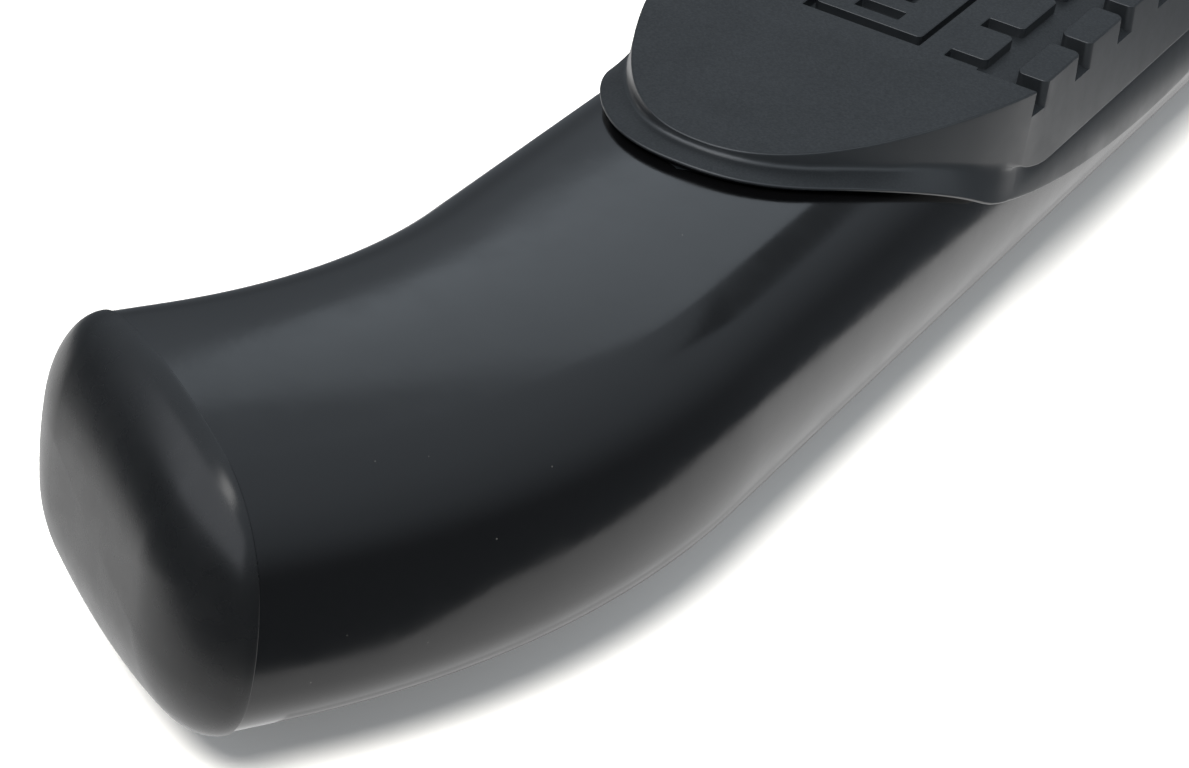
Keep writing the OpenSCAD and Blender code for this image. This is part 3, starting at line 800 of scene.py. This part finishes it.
def white_nylon():
    """Natural nylon of the pads' clips."""
    m = Nodes("white_nylon", IOR=1.5, Subsurface_Weight=0.15, Subsurface_Scale=0.002)
    cloud = m.mapped(m.noise(6, 2), 0.3, 0.7, 0, 1)
    colour = m.colours(cloud, (0.70, 0.69, 0.64), (0.78, 0.77, 0.73))
    rough = m.mapped(m.noise(2, 2), 0.3, 0.7, 0.35, 0.5)
    grain = m.bump(m.noise(0.6, 2), 0.02, 0.5)
    return m.end(Base_Color=colour, Roughness=rough, Normal=grain)


CAD_LOOKS = {
    "bracket_coating": satin_black_paint,
    "zinc_steel": bright_zinc,
    "clip_plastic": white_nylon,
}


def dress_cad_nodes():
    """Gives each CAD node that stays its slot's material."""
    made = {slot: build() for slot, build in CAD_LOOKS.items()}
    slots = {s["node"]: s["material_slot"] for s in frame["record"]["subparts"]}
    for name, node in frame["nodes"].items():
        if slots[name] in made:
            node.data.materials.clear()
            node.data.materials.append(made[slots[name]])


# ---- Stage ----

def staged(name, points, faces, material):
    """A part of the stage, from points in metres."""
    mesh = bpy.data.meshes.new(name)
    mesh.from_pydata(points, [], faces)
    mesh.materials.append(material)
    made = add_object(name, mesh)
    return made


def sheet(name, wide, high, material):
    """A flat part of the stage, facing up, with its middle at the origin."""
    x, y = wide / 2, high / 2
    return staged(name, [(-x, -y, 0), (x, -y, 0), (x, y, 0), (-x, y, 0)], [(0, 1, 2, 3)], material)


def matt_white(name, colour):
    """The floor's matt paint, a little lit from within, which softens the shadow."""
    m = Nodes(name, Roughness=0.9, Emission_Strength=0.13)
    m.shader.inputs["Emission Color"].default_value = (1, 1, 1, 1)
    m.shader.inputs["Base Color"].default_value = (*colour, 1)
    m.shader.inputs["Specular IOR Level"].default_value = 0.0
    return m.material


def glow(name, colour, strength):
    """A surface that only shines."""
    material = bpy.data.materials.new(name)
    material.use_nodes = True
    tree = material.node_tree
    tree.nodes.clear()
    shine = tree.nodes.new("ShaderNodeEmission")
    shine.inputs["Color"].default_value = (*colour, 1)
    shine.inputs["Strength"].default_value = strength
    out = tree.nodes.new("ShaderNodeOutputMaterial")
    tree.links.new(shine.outputs[0], out.inputs["Surface"])
    return material


def rays(made, camera, diffuse, glossy, shadow):
    """Which rays see this part of the stage."""
    made.visible_camera, made.visible_diffuse = camera, diffuse
    made.visible_glossy, made.visible_shadow = glossy, shadow
    made.visible_transmission = made.visible_volume_scatter = False


def table_outline():
    """Outline of a wide pale table below the bar, in metres, from the slope at which its edge is
    seen in each direction from the front bend."""
    way = np.radians(np.arange(0, 360, 3))
    turns = (0, 45, 65, 80, 90, 98, 108, 156, 220, 245, 274, 285, 300, 316, 360)
    slopes = (20, 20, 12, 8, 16, 19, 25, 35, 40, 45, 42, 30, 26, 20, 20)
    reach = TABLE_DROP / np.tan(np.radians(np.interp(np.degrees(way), turns, slopes)))
    x, y = -STRAIGHT / 2 * MM + reach * np.cos(way), BAR_Y * MM + reach * np.sin(way)
    return [Vector((a, b, -TABLE_DROP)) for a, b in zip(x, y)]


def make_table():
    """The pale table that the gloss reflects, with nothing but a dark room beyond its edge."""
    loop = table_outline()
    faces = tessellate_polygon([loop])
    table = staged("table", [tuple(p) for p in loop], faces, glow("table_glow", (1, 1, 1), 1.0))
    rays(table, False, False, True, False)


def make_table_shade(outboard, z, strength):
    """The bar's own shade under it, as the gloss reflects it: a strip at the height z along the
    bar's path, outboard this far, moved the way the light falls."""
    points = []
    for s in np.linspace(-STRAIGHT / 2, BEND_R * BEND + END_L, 40):
        centre, side, _ = path_point(s)
        for across in (-outboard, SHADE_INBOARD):
            x, y, _ = centre + side * across
            x, y = x + SHADE_SHIFT[0], y + SHADE_SHIFT[1] + BAR_Y
            points.append((x * MM, y * MM, z * MM))
    points += [(-x, y, z) for x, y, z in points[::-1]]
    faces = [(i, i + 1, i + 3, i + 2) for i in range(0, len(points) - 2, 2)]
    strip = staged("table_shade", points, faces, glow("shade_glow", (1, 1, 1), strength))
    rays(strip, False, False, True, False)


def make_floor():
    """The pale floor under the bracket legs, which the gloss doesn't show."""
    floor = sheet("floor", 28, 28, matt_white("pale_floor", (0.90, 0.87, 0.82)))
    rays(floor, True, True, False, True)


def make_backdrop():
    """A white surround that only the camera sees."""
    bm = bmesh.new()
    bmesh.ops.create_icosphere(bm, subdivisions=4, radius=40)
    mesh = bpy.data.meshes.new("backdrop")
    bm.to_mesh(mesh)
    bm.free()
    mesh.materials.append(glow("pale_backdrop", (1, 1, 1), 1.0))
    dome = add_object("backdrop", mesh)
    rays(dome, True, False, False, False)


def make_stage():
    make_floor()
    make_table()
    make_table_shade(76, 0.6, 0.62)
    make_table_shade(60, 1.2, 0.26)
    make_backdrop()


def make_world():
    """A soft overhead light that darkens down to the horizon."""
    world = bpy.data.worlds.new("studio")
    bpy.context.scene.world = world
    world.use_nodes = True
    tree = world.node_tree
    back = tree.nodes["Background"]
    where = tree.nodes.new("ShaderNodeTexCoord")
    split = tree.nodes.new("ShaderNodeSeparateXYZ")
    ramp = tree.nodes.new("ShaderNodeValToRGB")
    tree.links.new(where.outputs["Generated"], split.inputs[0])
    tree.links.new(split.outputs["Z"], ramp.inputs[0])
    stops = [(0.0, 0.15), (0.12, 0.21), (0.29, 0.36), (0.47, 0.53)]
    stops += [(0.62, 0.61), (0.78, 0.72), (0.95, 0.80)]
    while len(ramp.color_ramp.elements) < len(stops):
        ramp.color_ramp.elements.new(0.5)
    for element, (at, value) in zip(ramp.color_ramp.elements, stops):
        element.position = at
        element.color = (value * 0.90, value * 1.0, value * 1.11, 1)
    tree.links.new(ramp.outputs[0], back.inputs["Color"])
    back.inputs["Strength"].default_value = 1.0


def card(name, azimuth, elevation, wide, high, distance, colour, strength):
    """A reflector seen only in the gloss, facing the bar's front bend, its size in degrees."""
    a, e = math.radians(azimuth), math.radians(elevation)
    toward_card = Vector((math.cos(a) * math.cos(e), math.sin(a) * math.cos(e), math.sin(e)))
    w, h = (2 * distance * math.tan(math.radians(v) / 2) for v in (wide, high))
    made = sheet(name, w, h, glow(name, colour, strength))
    bend = Vector((-STRAIGHT / 2, BAR_Y, BAR_Z)) * MM
    made.location = bend + toward_card * distance
    made.rotation_mode = "QUATERNION"
    made.rotation_quaternion = toward_card.to_track_quat("Z", "Y")
    rays(made, False, False, True, False)


def make_lights():
    """A broad key light, and the reflectors that give the gloss its bright and dark bands."""
    key = bpy.data.lights.new("key", "SUN")
    key.energy, key.angle = 6.5, math.radians(19)
    lamp = add_object("key", key)
    lamp.rotation_mode = "QUATERNION"
    lamp.rotation_quaternion = Vector((-0.75, -0.20, 1.0)).to_track_quat("Z", "Y")
    lamp.visible_glossy = False
    card("bright_panel", 19, 35, 32, 22, 1.6, (0.90, 1.0, 1.10), 1.05)
    card("dark_panel", -12, 33.5, 26, 10, 1.7, (0.9, 1.0, 1.1), 0.20)
    card("end_panel", 160, 40, 100, 48, 2.0, (0.95, 1.0, 1.08), 1.4)
    card("end_lamp", 168, 72, 24, 22, 1.8, (1, 1, 1), 4.6)


def make_camera():
    """The photograph's view: a long lens above the outboard side of the front end."""
    eye = Vector((-STRAIGHT / 2 - 820.1, -383.98 + BAR_Y, 549.96 + BAR_Z)) * MM
    look = Vector((0.77486, 0.35574, -0.52253)).normalized()
    roll = 0.158
    level = look.cross(Vector((0, 0, 1))).normalized()
    rise = level.cross(look)
    right = level * math.cos(roll) + rise * math.sin(roll)
    up = rise * math.cos(roll) - level * math.sin(roll)
    camera = add_object("camera", bpy.data.cameras.new("camera"))
    camera.data.lens = 108.45
    camera.data.sensor_width = 36.0
    camera.data.clip_start, camera.data.clip_end = 0.05, 100
    turn = Matrix((right, up, -look)).transposed().to_4x4()
    camera.matrix_world = Matrix.Translation(eye) @ turn
    bpy.context.scene.camera = camera


def build():
    """The whole visual model and its studio."""
    make_tube(gloss_black())
    cap = satin_cap()
    make_cap("front_cap", "front_end_cap", 1, cap)
    make_cap("rear_cap", "rear_end_cap", -1, cap)
    make_pads(grained_plastic())
    dress_cad_nodes()
    make_stage()
    make_world()
    make_lights()
    make_camera()
    bpy.context.scene.view_settings.view_transform = "Standard"


build()
